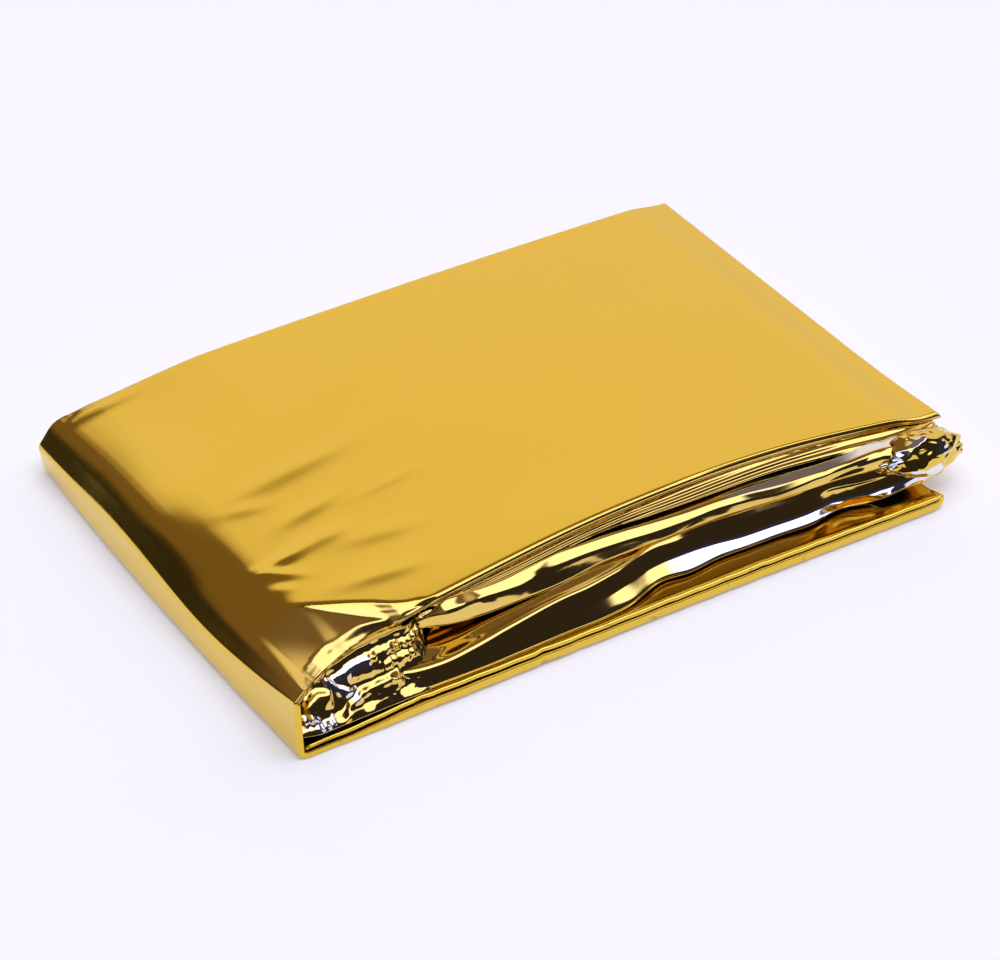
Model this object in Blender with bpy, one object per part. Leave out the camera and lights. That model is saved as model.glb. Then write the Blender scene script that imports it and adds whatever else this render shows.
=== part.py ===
"""Folded emergency blanket: one long foil strip, folded back and forth into a flat packet.

Metres, +Z up. X runs along the packet, Y across it, and the open, layered side faces -Y.
The origin is on the surface that the packet lies on, under its middle.

The strip starts at the right end of the top face, runs left, wraps round the left end,
comes back along the bottom, and then folds back and forth between the two.
"""

from collections import namedtuple

import bmesh
import bpy
import numpy as np

# Driving dimensions of the packet
LENGTH = 0.131  # between the straight ends, a sixteenth of the 2.10 m sheet
WIDTH = 0.090  # across the packet, along its straight ends
HEIGHT = 0.0133  # at the four corners
GAP = 0.00035  # air between one layer and the next

# How the top face rises and falls
CROWN = 0.0017  # the middle stands this much above the corners
CROWN_FADE = 0.35  # the share of the crown that is lost at the long edges
FRONT_PUFF = 0.0009  # the open side is looser, so it stands higher still
FRONT_PUFF_WIDTH = 0.014
RIGHT_CURL = 0.0010  # the top face's free end dips
RIGHT_CURL_LENGTH = 0.009
CORNER_DROP = 0.0021  # the far left corner is flatter
CORNER_LENGTH = 0.030
CORNER_WIDTH = 0.040

# The wrapped left end: a low wall, bowed a little, under a shoulder that slopes up to the top
WALL_X = -0.0675
WALL_SLANT = -0.016
WALL_BOW = 0.0009
CREASE_Y = (-0.047, -0.035, -0.018, 0.000, 0.013, 0.030, 0.046)
CREASE_HEIGHT = (0.0118, 0.0086, 0.0058, 0.0068, 0.0078, 0.0054, 0.0058)
CREASE_INSET = (0.0002, 0.0004, 0.0004, 0.0004, 0.0004, 0.0003, -0.0006)  # how far the wall leans in
SHOULDER_LENGTH = (0.0160, 0.0150, 0.0120, 0.0085, 0.0060, 0.0050, 0.0055)
SHOULDER_POWER = 1.6  # how much steeper the shoulder gets towards the crease

# Stations along X at which the table below gives where each layer's front edge runs
FRONT_X = (-0.066, -0.048, -0.030, 0.000, 0.035, 0.062)

# Between its left and right ends and its back edge, a layer's front edge is a line through
# one Y for each station. The layers are listed from the bottom up.
Layer = namedtuple("Layer", "name thick left right back front")
LAYERS = (
    Layer("lower lip", 0.0026, -0.0600, 0.0645, 0.0455,
          (-0.0477, -0.0480, -0.0484, -0.0488, -0.0495, -0.0501)),
    Layer("upper lip", 0.0014, -0.0622, 0.0650, 0.0462,
          (-0.0466, -0.0470, -0.0475, -0.0480, -0.0488, -0.0496)),
    Layer("lower roll", 0.0030, -0.0620, 0.0655, 0.0468,
          (-0.0432, -0.0452, -0.0458, -0.0446, -0.0432, -0.0472)),
    Layer("dark fold", 0.0017, -0.0612, 0.0660, 0.0472,
          (-0.0418, -0.0426, -0.0428, -0.0420, -0.0424, -0.0486)),
    Layer("brown fold", 0.0017, -0.0612, 0.0662, 0.0468,
          (-0.0412, -0.0416, -0.0412, -0.0402, -0.0412, -0.0484)),
    Layer("long roll", 0.0030, -0.0588, 0.0665, 0.0462,
          (-0.0410, -0.0418, -0.0412, -0.0390, -0.0396, -0.0452)),
    Layer("silver flap", 0.0012, -0.0588, 0.0665, 0.0452,
          (-0.0424, -0.0402, -0.0386, -0.0364, -0.0374, -0.0420)),
    Layer("top face", 0.0012, -0.0600, 0.0672, 0.0449,
          (-0.0459, -0.0410, -0.0384, -0.0358, -0.0362, -0.0400)),
)
TOP = len(LAYERS) - 1

# Where the rolls at the open side are fatter: layer, middle along X, length, share added
Puff = namedtuple("Puff", "layer middle length share")
PUFFS = (
    Puff(2, -0.020, 0.026, 0.40),
    Puff(3, 0.030, 0.020, 0.35),
    Puff(5, 0.010, 0.040, 0.30),
)
PUFF_DEPTH = 0.014  # how far in from the open side a roll stays fat
# The bottom layer thins towards the wrapped end, by this share
LIP_TAPER = 0.45
LIP_TAPER_X = -0.044
LIP_TAPER_LENGTH = 0.014

# The corner where the inner folds burst out past the top face, and the lips stop short
BURST_Y = -0.0440
BURST_DEPTH = 0.0075
BURST_REACH = {0: -0.0042, 1: -0.0040, 2: 0.0006, 3: 0.0006, 4: 0.0019, 5: 0.0019, 7: 0.0012}
BURST_WIDTH = {0: 2.6, 1: 2.6, 7: 2.0}  # these ends slant over this many times the depth

# How finely the strip is cut up
LAYER_STEPS = 16  # stretches along each layer
CROWDING = 0.11  # they are shorter towards both of its ends
STRETCH_FROM = 0.6  # the share of its length from which a layer shifts to meet its right end
FOLD_STEPS = 4  # stretches round each tight fold
# Stops round the wrapped end: down the shoulder, up the wall, and round the foot
SHOULDER_STOPS = np.array([0.24, 0.46, 0.66, 0.84, 1.0])
WALL_STOPS = np.array([0.80, 0.54, 0.26, 0.0])
FOOT_RADIUS = 0.0017
FOOT_STOPS = np.radians([30.0, 60.0, 90.0])
# An edge row's distance in from the edge, in half thicknesses
EDGE_ROWS = (0.0, 0.16, 1.0)
INNER_ROWS = (0.045, 0.13, 0.30, 0.52, 0.76, 0.93)
ROWS = 2 * len(EDGE_ROWS) + len(INNER_ROWS)

GOLD = (0.80, 0.50, 0.10, 1.0)
SHARP_DEG = 35.0


def clear_scene():
    for old in list(bpy.data.objects):
        bpy.data.objects.remove(old, do_unlink=True)


def gold_foil():
    """Metallised film: a smooth metal, gold on the side that shows."""
    material = bpy.data.materials.new("gold_foil")
    material.use_nodes = True
    shader = material.node_tree.nodes["Principled BSDF"]
    shader.inputs["Base Color"].default_value = GOLD
    shader.inputs["Metallic"].default_value = 1.0
    shader.inputs["Roughness"].default_value = 0.2
    material.diffuse_color = GOLD
    return material


def smooth(share):
    """0 below 0, 1 above 1, and a soft S between."""
    share = np.clip(share, 0.0, 1.0)
    return share * share * (3.0 - 2.0 * share)


def curve(at, stations, values):
    """A smooth line through the values at the stations, each bend a cubic."""
    stations, values = np.array(stations), np.array(values)
    slopes = np.gradient(values, stations)
    at = np.clip(at, stations[0], stations[-1])
    i = np.clip(np.searchsorted(stations, at, side="right") - 1, 0, len(stations) - 2)
    step = stations[i + 1] - stations[i]
    t = (at - stations[i]) / step
    rise = smooth(t)
    bend = t * (1.0 - t) * ((1.0 - t) * slopes[i] - t * slopes[i + 1])
    return values[i] * (1.0 - rise) + values[i + 1] * rise + step * bend


def wall_x(y):
    """The foot of the wrapped end, bowed outwards in the middle."""
    return WALL_X + WALL_SLANT * y - WALL_BOW * (1.0 - (y / (0.5 * WIDTH)) ** 2)


def packet_height(x, y):
    """Height of the top face: a low crown, and a shoulder down to the wrapped end's crease."""
    across = np.clip(1.0 - (x / (0.53 * LENGTH)) ** 2, 0.0, 1.0)
    along = 1.0 - CROWN_FADE * (y / (0.5 * WIDTH)) ** 2
    height = HEIGHT + CROWN * across * along
    loose = np.exp(-(((y + 0.42 * WIDTH) / FRONT_PUFF_WIDTH) ** 2))
    height = height + FRONT_PUFF * loose * across
    height = height - RIGHT_CURL * smooth((x - 0.44 * LENGTH) / RIGHT_CURL_LENGTH)
    to_corner = smooth((-0.48 * LENGTH + CORNER_LENGTH - x) / CORNER_LENGTH)
    height = height - CORNER_DROP * to_corner * smooth((y + CORNER_WIDTH - 0.5 * WIDTH) / CORNER_WIDTH)
    length = curve(y, CREASE_Y, SHOULDER_LENGTH)
    start = wall_x(y) + curve(y, CREASE_Y, CREASE_INSET) + length
    down = np.clip((start - x) / length, 0.0, 1.0)
    crease = curve(y, CREASE_Y, CREASE_HEIGHT)
    return height - (height - crease) * down**SHOULDER_POWER


def thicknesses(x, y):
    """Thickness of every layer at (x, y), so that the stack and its gaps fill the height."""
    shares = []
    for number, layer in enumerate(LAYERS):
        share = np.full(np.shape(x), layer.thick)
        for puff in PUFFS:
            if puff.layer == number:
                bump = np.exp(-(((x - puff.middle) / puff.length) ** 2))
                bump = bump * np.exp(-(((y + 0.5 * WIDTH) / PUFF_DEPTH) ** 2))
                share = share * (1.0 + puff.share * bump)
        shares.append(share)
    shares[0] = shares[0] * (1.0 - LIP_TAPER * smooth((LIP_TAPER_X - x) / LIP_TAPER_LENGTH))
    shares = np.array(shares)
    room = packet_height(x, y) - GAP * TOP
    return shares * room / shares.sum(axis=0)


def layer_heights(number, x, y):
    """Middle height and half thickness of one layer at (x, y)."""
    thick = thicknesses(x, y)
    below = thick[:number].sum(axis=0) + GAP * number
    return below + thick[number] / 2, thick[number] / 2


def right_end(number, y):
    """Where a layer ends on the right: the rolls burst out at the open corner, the lips don't."""
    depth = BURST_DEPTH * BURST_WIDTH.get(number, 1.0)
    burst = np.exp(-(((y - BURST_Y) / depth) ** 2))
    return LAYERS[number].right + BURST_REACH.get(number, 0.0) * burst


def rim_share(row):
    """The share of the full thickness that a row has: none at the rim, all of it inside."""
    inwards = min(row, ROWS - 1 - row)
    if inwards >= len(EDGE_ROWS):
        return 1.0
    return np.sqrt(1.0 - (1.0 - EDGE_ROWS[inwards]) ** 2)


def row_y(number, x, row):
    """Where a row runs on a layer: the outer rows follow its edges, and the rest are between."""
    layer = LAYERS[number]
    _, half = layer_heights(number, x, np.full_like(x, -0.45 * WIDTH))
    front = curve(x, FRONT_X, layer.front)
    near, far = row, ROWS - 1 - row
    if near < len(EDGE_ROWS):
        return front + EDGE_ROWS[near] * half
    if far < len(EDGE_ROWS):
        return layer.back - EDGE_ROWS[far] * half
    part = INNER_ROWS[row - len(EDGE_ROWS)]
    return front + half + part * (layer.back - front - 2 * half)


def layer_line(number, row):
    """One row along a layer, left to right: its middle points and its half thickness."""
    layer = LAYERS[number]
    even = np.linspace(0.0, 1.0, LAYER_STEPS + 1)
    crowded = even - CROWDING * np.sin(2 * np.pi * even)
    x = layer.left + (layer.right - layer.left) * crowded
    y = row_y(number, x, row)
    stretch = right_end(number, y) - layer.right
    x = x + stretch * smooth((crowded - STRETCH_FROM) / (1.0 - STRETCH_FROM))
    middle, half = layer_heights(number, x, y)
    return np.stack([x, y, middle], axis=1), half


def tight_fold(start, end, half_start, half_end, side):
    """A half turn round the gap between two layers' ends, to the right with side 1, left with -1.

    Gives middle points, directions to the fold's outer side, and half thicknesses.
    """
    turn = np.linspace(0.0, np.pi, FOLD_STEPS + 1)[1:-1]
    share = turn[:, None] / np.pi
    half = half_start + (half_end - half_start) * share[:, 0]
    climb = np.sign(end[2] - start[2])
    base = start + (end - start) * share
    base[:, 2] = start[2] + climb * (half_start + GAP / 2)
    outwards = np.stack([side * np.sin(turn), 0 * turn, -climb * np.cos(turn)], axis=1)
    points = base + outwards * (half + GAP / 2)[:, None]
    # The fold follows the top's slope beyond the layers' ends
    slope = packet_height(points[:, 0], points[:, 1]) / packet_height(base[:, 0], base[:, 1])
    points[:, 2] *= slope
    return points, outwards, half * slope


def wrap(top_end, bottom_end, half_top, half_bottom):
    """The strip's way round the left end: down the shoulder, over the crease, round the foot."""
    shoulder, wall, foot = len(SHOULDER_STOPS), len(WALL_STOPS), len(FOOT_STOPS)
    steps = shoulder + wall + foot + 1
    y = np.linspace(top_end[1], bottom_end[1], steps + 1)[1:-1]
    half = np.linspace(half_top, half_bottom, steps + 1)[1:-1]
    inset = curve(y, CREASE_Y, CREASE_INSET)
    crease = curve(y, CREASE_Y, CREASE_HEIGHT)
    x = wall_x(y)
    z = 0 * y
    down = slice(0, shoulder)
    x[down] = top_end[0] + (x + inset - top_end[0])[down] * SHOULDER_STOPS
    z[down] = packet_height(x, y)[down]
    side = slice(shoulder, shoulder + wall)
    x[side] += inset[side] * WALL_STOPS
    z[side] = FOOT_RADIUS + (crease[side] - FOOT_RADIUS) * WALL_STOPS
    round_foot = slice(shoulder + wall, None)
    x[round_foot] += FOOT_RADIUS * (1.0 - np.cos(FOOT_STOPS))
    z[round_foot] = FOOT_RADIUS * (1.0 - np.sin(FOOT_STOPS))
    surface = np.stack([x, y, z], axis=1)
    up = np.array([0.0, 0.0, 1.0])
    whole = np.vstack([top_end + up * half_top, surface, bottom_end - up * half_bottom])
    along = whole[2:] - whole[:-2]
    outwards = np.stack([along[:, 2], 0 * y, -along[:, 0]], axis=1)
    outwards /= np.linalg.norm(outwards, axis=1)[:, None]
    return surface - outwards * half[:, None], outwards, half


def strip_row(row):
    """One row along the whole strip: middle points, and vectors to its outer side."""
    up = np.array([0.0, 0.0, 1.0])
    points, half = layer_line(TOP, row)
    below, below_half = layer_line(0, row)
    parts = [(points[::-1], up + 0 * points, half[::-1])]
    parts.append(wrap(points[0], below[0], half[0], below_half[0]))
    parts.append((below, -up + 0 * below, below_half))
    last, last_half = below[-1], below_half[-1]
    for number in range(1, TOP):
        line, half = layer_line(number, row)
        side = 1 if number % 2 else -1
        line, half = line[::side * -1], half[::side * -1]
        fold, outwards, fold_half = tight_fold(last, line[0], last_half, half[0], side)
        parts.append((fold, outwards * side, fold_half))
        parts.append((line, side * up + 0 * line, half))
        last, last_half = line[-1], half[-1]
    middle = np.vstack([part[0] for part in parts])
    outwards = np.vstack([part[1] for part in parts])
    half = np.concatenate([part[2] for part in parts])
    return middle, outwards * half[:, None] * rim_share(row)


def build_strip():
    """The whole strip as one closed body, from rows of points on its two sides."""
    outer, inner = [], []
    shape = bmesh.new()
    for row in range(ROWS):
        middle, outwards = strip_row(row)
        outer.append(new_points(shape, middle + outwards))
        rim = row in (0, ROWS - 1)  # the two sides meet there
        inner.append(outer[-1] if rim else new_points(shape, middle - outwards))
    for side in (outer, inner):
        for a, b in zip(side[:-1], side[1:]):
            for i in range(len(a) - 1):
                shape.faces.new((a[i], a[i + 1], b[i + 1], b[i]))
    for i in (0, -1):  # the strip's two free ends
        for row in range(ROWS - 1):
            corners = (outer[row][i], outer[row + 1][i], inner[row + 1][i], inner[row][i])
            shape.faces.new(list(dict.fromkeys(corners)))
    bmesh.ops.recalc_face_normals(shape, faces=shape.faces)
    return shape


def new_points(shape, places):
    """Adds a row of points to the shape, none of them below the surface it lies on."""
    places[:, 2] = np.maximum(places[:, 2], 0.0)
    return [shape.verts.new(place) for place in places]


def centre_on_origin(shape):
    places = np.array([point.co for point in shape.verts])
    middle = (places.min(axis=0) + places.max(axis=0)) / 2
    bmesh.ops.translate(shape, vec=(-middle[0], -middle[1], 0.0), verts=shape.verts)


def build_blanket():
    shape = build_strip()
    centre_on_origin(shape)
    mesh = bpy.data.meshes.new("foil_blanket")
    shape.to_mesh(mesh)
    shape.free()
    mesh.materials.append(gold_foil())
    mesh.shade_smooth()
    mesh.set_sharp_from_angle(angle=np.radians(SHARP_DEG))
    blanket = bpy.data.objects.new("foil_blanket", mesh)
    bpy.context.scene.collection.objects.link(blanket)


clear_scene()
build_blanket()
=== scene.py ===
# %% [markdown]
# # A folded foil emergency blanket
# The real object is a huge sheet of film, thinner than a hair, gold on one side and silver on the
# other, folded some sixteen times each way into a packet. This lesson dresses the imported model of
# that packet: the frame gives its size and place, and the cells below build the foil that shows.

# %% Load the fixed frame
import math
import bpy
import numpy as np
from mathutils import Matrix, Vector


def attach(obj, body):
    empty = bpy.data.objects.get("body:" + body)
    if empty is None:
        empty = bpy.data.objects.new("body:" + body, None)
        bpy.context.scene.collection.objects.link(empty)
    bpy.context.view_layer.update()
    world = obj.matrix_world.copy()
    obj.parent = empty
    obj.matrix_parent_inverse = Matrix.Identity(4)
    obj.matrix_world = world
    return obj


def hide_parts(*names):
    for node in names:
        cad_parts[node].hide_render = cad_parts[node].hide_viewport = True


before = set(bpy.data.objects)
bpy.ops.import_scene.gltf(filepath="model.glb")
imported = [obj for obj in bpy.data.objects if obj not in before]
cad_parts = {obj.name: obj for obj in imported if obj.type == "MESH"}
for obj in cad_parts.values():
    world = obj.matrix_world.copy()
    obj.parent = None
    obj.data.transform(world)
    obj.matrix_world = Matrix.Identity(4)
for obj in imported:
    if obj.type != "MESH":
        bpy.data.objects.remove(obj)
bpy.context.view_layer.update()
MM = 0.001
SEED = 11
print("frame nodes:", sorted(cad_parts))

# %% [markdown]
# ## Camera
# A packet that small is photographed from half a metre with a long lens, so its edges stay nearly
# parallel. The camera looks down at 37 degrees onto the corner between the wrapped end and the
# open, layered side. It aims at the origin of the folding drawing below, on the table.

# %% Camera
SHIFT = np.array([-0.475, 1.45, 0.0])  # from the folding drawing's origin to the frame's, in mm
TURN, RISE, DISTANCE = math.radians(-32.136), math.radians(37.14), 0.540
sight = Vector((math.sin(TURN) * math.cos(RISE), -math.cos(TURN) * math.cos(RISE), math.sin(RISE)))
camera_data = bpy.data.cameras.new("camera")
camera_data.lens, camera_data.sensor_width = 108.18, 36.0
camera_data.shift_x, camera_data.shift_y = 0.0027, -0.0015
camera_data.clip_start = 0.01
camera = bpy.data.objects.new("camera", camera_data)
camera.location = sight * DISTANCE + Vector(SHIFT * MM)
camera.rotation_mode = "QUATERNION"
camera.rotation_quaternion = (-sight).to_track_quat("-Z", "Y")
bpy.context.scene.collection.objects.link(camera)
bpy.context.scene.camera = camera
print("camera at", tuple(round(c, 3) for c in camera.location))

# %% [markdown]
# ## Studio
# Metallic film shows its surroundings more than itself, so the studio is half of the finish. A wide
# soft panel behind the packet fills the flat top with one even gold, and a dim warm one round it
# browns the shoulder. A narrow, bright one above the open side draws the crisp lines on the folds.
# The room between them is dark, and so are the crease and the fronts of the rolls. The panels are
# painted on the sky, so that they are infinitely far away and the whole packet sees them alike.

# %% Soft panels on the sky
def panel_group():
    """Mask of a soft-edged panel, 1 inside and 0 outside.

    The direction d is written as a turn round the panel's axis, atan2(d.side, d.forward), and a rise
    along it, asin(d.axis). Three soft steps bound them, and are multiplied. Angles are in radians.
    """
    group = bpy.data.node_groups.new("soft_panel", "ShaderNodeTree")
    for name in ("Direction", "Forward", "Side", "Axis"):
        group.interface.new_socket(name, in_out="INPUT", socket_type="NodeSocketVector")
    for name in ("Half Turn", "Turn Softness", "Low", "High", "Rise Softness"):
        group.interface.new_socket(name, in_out="INPUT", socket_type="NodeSocketFloat")
    group.interface.new_socket("Mask", in_out="OUTPUT", socket_type="NodeSocketFloat")
    nodes, links = group.nodes, group.links
    given, result = nodes.new("NodeGroupInput"), nodes.new("NodeGroupOutput")

    def dot(axis):
        node = nodes.new("ShaderNodeVectorMath")
        node.operation = "DOT_PRODUCT"
        links.new(given.outputs["Direction"], node.inputs[0])
        links.new(given.outputs[axis], node.inputs[1])
        return node.outputs["Value"]

    def maths(kind, first, second=None):
        node = nodes.new("ShaderNodeMath")
        node.operation = kind
        for socket, value in zip(node.inputs, (first, second)):
            if isinstance(value, float):
                socket.default_value = value
            elif value is not None:
                links.new(value, socket)
        return node.outputs[0]

    def soft_step(spare, softness):
        step = nodes.new("ShaderNodeMapRange")
        step.interpolation_type = "SMOOTHSTEP"
        links.new(spare, step.inputs["Value"])
        links.new(maths("MULTIPLY", given.outputs[softness], -1.0), step.inputs["From Min"])
        links.new(given.outputs[softness], step.inputs["From Max"])
        return step.outputs["Result"]

    turn = maths("ABSOLUTE", maths("ARCTAN2", dot("Side"), dot("Forward")))
    rise = maths("ARCSINE", dot("Axis"))
    sides = soft_step(maths("SUBTRACT", given.outputs["Half Turn"], turn), "Turn Softness")
    low = soft_step(maths("SUBTRACT", rise, given.outputs["Low"]), "Rise Softness")
    high = soft_step(maths("SUBTRACT", given.outputs["High"], rise), "Rise Softness")
    links.new(maths("MULTIPLY", sides, maths("MULTIPLY", low, high)), result.inputs["Mask"])
    return group


# Each panel: forward and axis, then in degrees half its turn, softness, lowest and highest rise,
# softness, and its light. The first stands behind to the right, on a slanted axis. The second, warm
# and dim, is wider and higher. The third is a strip overhead along the open side. The last is at
# the left.
PANELS = (
    ((0.565, 0.349, 0.747), (0.460, 0.619, -0.637), 41, 6, 3, 99, 8, (0.78, 0.74, 0.675)),
    ((0.438, 0.899, 0), (0, 0, 1), 69, 6, 17, 84, 9, (0.17, 0.11, 0.065)),
    ((0, -0.309, 0.951), (1, 0, 0), 13.6, 2.5, -28, 52, 4, (1.7, 1.75, 2.6)),
    ((-0.866, -0.5, 0), (0, 0, 1), 25, 12, 18, 58, 8, (0.16, 0.13, 0.10)),
)
ROOM = (0.030, 0.026, 0.040)


def make_sky():
    """The world's light: the room's own, plus each panel's mask times its light."""
    world = bpy.data.worlds.new("studio")
    world.use_nodes = True
    nodes, links = world.node_tree.nodes, world.node_tree.links
    place, group = nodes.new("ShaderNodeTexCoord"), panel_group()
    total = None
    for forward, axis, half, turn_soft, low, high, rise_soft, light in PANELS:
        forward, axis = Vector(forward).normalized(), Vector(axis)
        node = nodes.new("ShaderNodeGroup")
        node.node_tree = group
        links.new(place.outputs["Generated"], node.inputs["Direction"])
        node.inputs["Forward"].default_value = forward
        node.inputs["Side"].default_value = axis.cross(forward)
        node.inputs["Axis"].default_value = axis
        for name, angle in (("Half Turn", half), ("Turn Softness", turn_soft), ("Low", low),
                            ("High", high), ("Rise Softness", rise_soft)):
            node.inputs[name].default_value = math.radians(angle)
        add = nodes.new("ShaderNodeVectorMath")
        add.operation = "MULTIPLY_ADD"
        links.new(node.outputs["Mask"], add.inputs[0])
        add.inputs[1].default_value = light
        add.inputs[2].default_value = ROOM
        if total is not None:
            links.new(total, add.inputs[2])
        total = add.outputs["Vector"]
    links.new(total, nodes["Background"].inputs["Color"])
    bpy.context.scene.world = world


make_sky()
bpy.context.scene.view_settings.view_transform = "Standard"
print("studio panels:", len(PANELS))

# %% [markdown]
# ## Floor
# The packet lies on a plain white sweep. A real one is lit separately, so that it stays white
# next to a shiny object, and the wrapped end of the packet mirrors it as a bright gold band. Here
# a little light of the floor's own does the same, and leaves a soft shadow at the packet's foot.

# %% Floor
def plain_floor(half_side=4.0):
    mesh = bpy.data.meshes.new("floor")
    corners = [(-half_side, -half_side, 0), (half_side, -half_side, 0),
               (half_side, half_side, 0), (-half_side, half_side, 0)]
    mesh.from_pydata(corners, [], [(0, 1, 2, 3)])
    floor = bpy.data.objects.new("floor", mesh)
    bpy.context.scene.collection.objects.link(floor)
    paper = bpy.data.materials.new("floor_paper")
    paper.use_nodes = True
    shader = paper.node_tree.nodes["Principled BSDF"]
    shader.inputs["Base Color"].default_value = (0.82, 0.82, 0.82, 1)
    shader.inputs["Roughness"].default_value = 0.9
    shader.inputs["Specular IOR Level"].default_value = 0.0
    shader.inputs["Emission Color"].default_value = (1, 1, 1, 1)
    shader.inputs["Emission Strength"].default_value = 0.22
    mesh.materials.append(paper)
    return floor


def floor_light(power):
    """A wide lamp overhead that lights the paper but isn't mirrored in the foil."""
    lamp = bpy.data.lights.new("floor_light", "AREA")
    lamp.shape, lamp.size, lamp.energy = "DISK", 1.6, power
    light = bpy.data.objects.new("floor_light", lamp)
    light.location = (0.0, 0.0, 1.5)
    light.visible_glossy = False
    bpy.context.scene.collection.objects.link(light)


floor = plain_floor()
floor_light(12.0)

# %% [markdown]
# ## Foil
# The film has two sides: metal under a clear gold lacquer, and bare bright metal. A number stored
# on each point says which side shows there; on the dented top leaf it instead pales the gold a
# little, as a painted highlight tint. Handling leaves a faint haze and a crinkle too fine to
# model, so one shared group gives both, and another rubs small dull nicks into the cover's edges,
# where the lacquer breaks first. The cover is a little hazier than the folds under it.

# %% Haze and nicks as shared groups
def grain_group():
    """Haze and crinkle: two noises over the object's own coordinates, one coarse, one fine."""
    group = bpy.data.node_groups.new("film_grain", "ShaderNodeTree")
    for name, value in (("Base Roughness", 0.14), ("Haze", 0.05), ("Fine Scale", 2200.0)):
        socket = group.interface.new_socket(name, in_out="INPUT", socket_type="NodeSocketFloat")
        socket.default_value = value
    for name in ("Roughness", "Height", "Tone"):
        group.interface.new_socket(name, in_out="OUTPUT", socket_type="NodeSocketFloat")
    nodes, links = group.nodes, group.links
    given, result = nodes.new("NodeGroupInput"), nodes.new("NodeGroupOutput")
    place = nodes.new("ShaderNodeTexCoord")
    coarse, fine = nodes.new("ShaderNodeTexNoise"), nodes.new("ShaderNodeTexNoise")
    coarse.inputs["Scale"].default_value = 90.0
    coarse.inputs["Detail"].default_value = 3.0
    fine.inputs["Detail"].default_value = 2.0
    links.new(given.outputs["Fine Scale"], fine.inputs["Scale"])
    for noise in (coarse, fine):
        links.new(place.outputs["Object"], noise.inputs["Vector"])
    haze = nodes.new("ShaderNodeMath")
    haze.operation = "MULTIPLY_ADD"
    links.new(coarse.outputs["Fac"], haze.inputs[0])
    links.new(given.outputs["Haze"], haze.inputs[1])
    links.new(given.outputs["Base Roughness"], haze.inputs[2])
    links.new(haze.outputs[0], result.inputs["Roughness"])
    links.new(fine.outputs["Fac"], result.inputs["Height"])
    links.new(coarse.outputs["Fac"], result.inputs["Tone"])
    return group


def nick_group():
    """Nicks: where a noise rises over a limit, times how close the point is to a fold."""
    group = bpy.data.node_groups.new("fold_nicks", "ShaderNodeTree")
    for name, value in (("Fold", 0.0), ("Amount", 0.34)):
        socket = group.interface.new_socket(name, in_out="INPUT", socket_type="NodeSocketFloat")
        socket.default_value = value
    group.interface.new_socket("Mask", in_out="OUTPUT", socket_type="NodeSocketFloat")
    nodes, links = group.nodes, group.links
    given, result = nodes.new("NodeGroupInput"), nodes.new("NodeGroupOutput")
    place, noise = nodes.new("ShaderNodeTexCoord"), nodes.new("ShaderNodeTexNoise")
    noise.inputs["Scale"].default_value = 420.0
    noise.inputs["Detail"].default_value = 1.0
    links.new(place.outputs["Object"], noise.inputs["Vector"])
    limit = nodes.new("ShaderNodeMapRange")
    limit.inputs["From Min"].default_value = 0.69
    limit.inputs["From Max"].default_value = 0.72
    links.new(noise.outputs["Fac"], limit.inputs["Value"])
    mask = limit.outputs["Result"]
    for name in ("Fold", "Amount"):
        node = nodes.new("ShaderNodeMath")
        node.operation = "MULTIPLY"
        links.new(mask, node.inputs[0])
        links.new(given.outputs[name], node.inputs[1])
        mask = node.outputs[0]
    links.new(mask, result.inputs["Mask"])
    return group


GRAIN, NICKS = grain_group(), nick_group()
GOLD, SILVER, BARE = (0.80, 0.53, 0.037, 1), (0.80, 0.81, 0.83, 1), (0.16, 0.09, 0.03, 1)


def foil(name, roughness, haze, bump):
    """Gold mixed to silver by the stored share, which marks the silver side and, on the dented top, a
    painted highlight paling; then to bare film in the nicks, all of it metal.
    """
    material = bpy.data.materials.new(name)
    material.use_nodes = True
    nodes, links = material.node_tree.nodes, material.node_tree.links
    shader = nodes["Principled BSDF"]
    shader.inputs["Metallic"].default_value = 1.0
    shader.inputs["Coat Weight"].default_value = 0.5
    shader.inputs["Coat Roughness"].default_value = 0.08
    side, fold = nodes.new("ShaderNodeAttribute"), nodes.new("ShaderNodeAttribute")
    side.attribute_name, fold.attribute_name = "silver_side_and_painted_pale", "fold_edge"
    grain, nicks = nodes.new("ShaderNodeGroup"), nodes.new("ShaderNodeGroup")
    grain.node_tree, nicks.node_tree = GRAIN, NICKS
    grain.inputs["Base Roughness"].default_value = roughness
    grain.inputs["Haze"].default_value = haze
    links.new(fold.outputs["Fac"], nicks.inputs["Fold"])
    mixes = []
    for factor, colour in ((side.outputs["Fac"], SILVER), (nicks.outputs["Mask"], BARE)):
        mix = nodes.new("ShaderNodeMix")
        mix.data_type = "RGBA"
        mix.inputs[6].default_value, mix.inputs[7].default_value = GOLD, colour
        links.new(factor, mix.inputs[0])
        if mixes:
            links.new(mixes[-1].outputs[2], mix.inputs[6])
        mixes.append(mix)
    links.new(mixes[-1].outputs[2], shader.inputs["Base Color"])
    links.new(grain.outputs["Roughness"], shader.inputs["Roughness"])
    relief = nodes.new("ShaderNodeBump")
    relief.inputs["Strength"].default_value = bump
    relief.inputs["Distance"].default_value = 0.00004
    links.new(grain.outputs["Height"], relief.inputs["Height"])
    links.new(relief.outputs["Normal"], shader.inputs["Normal"])
    return material


FLAT_FOIL = foil("flat_foil", roughness=0.13, haze=0.05, bump=0.10)
FOLD_FOIL = foil("fold_foil", roughness=0.06, haze=0.04, bump=0.05)
print("materials:", FLAT_FOIL.name, FOLD_FOIL.name)

# %% [markdown]
# ## The folding drawing
# The packet is drawn once, as numbers: how high the top face stands, where the wrapped end's crease
# runs, how thick each fold is and where its front edge runs. Every piece is worked out from this
# one drawing, so they fit on each other. Lengths are in metres, and long tables in millimetres.

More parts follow.
